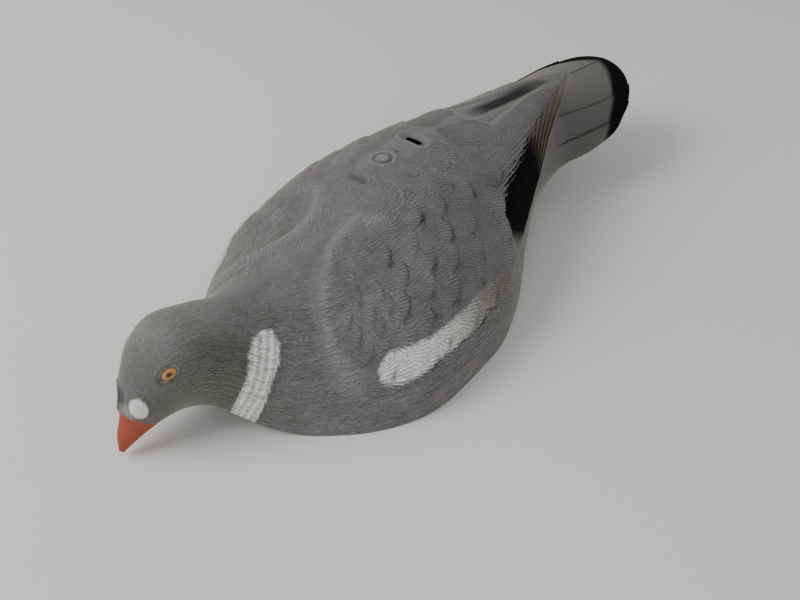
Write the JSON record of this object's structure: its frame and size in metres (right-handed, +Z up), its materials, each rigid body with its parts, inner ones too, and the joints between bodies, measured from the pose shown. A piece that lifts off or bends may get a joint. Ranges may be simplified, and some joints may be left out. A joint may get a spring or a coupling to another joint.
{
  "type": "bird decoy shell",
  "caption": "Hollow moulded shell of a feeding wood pigeon, open underneath, with a slot in the back for a ground peg; stands on its rim.",
  "frame": {"origin": "centre of the bounding box in plan, on the ground plane that the rim stands on", "axes": "+Y along the body towards the tail, so the beak points to -Y; +X to the bird's left side; +Z up"},
  "size_m": [0.1654, 0.3926, 0.0865],
  "materials": {
    "flocked_plastic": "flocked and airbrushed, fully matt"
  },
  "bodies": {
    "root": {"shell": "flocked_plastic"}
  },
  "joints": []
}
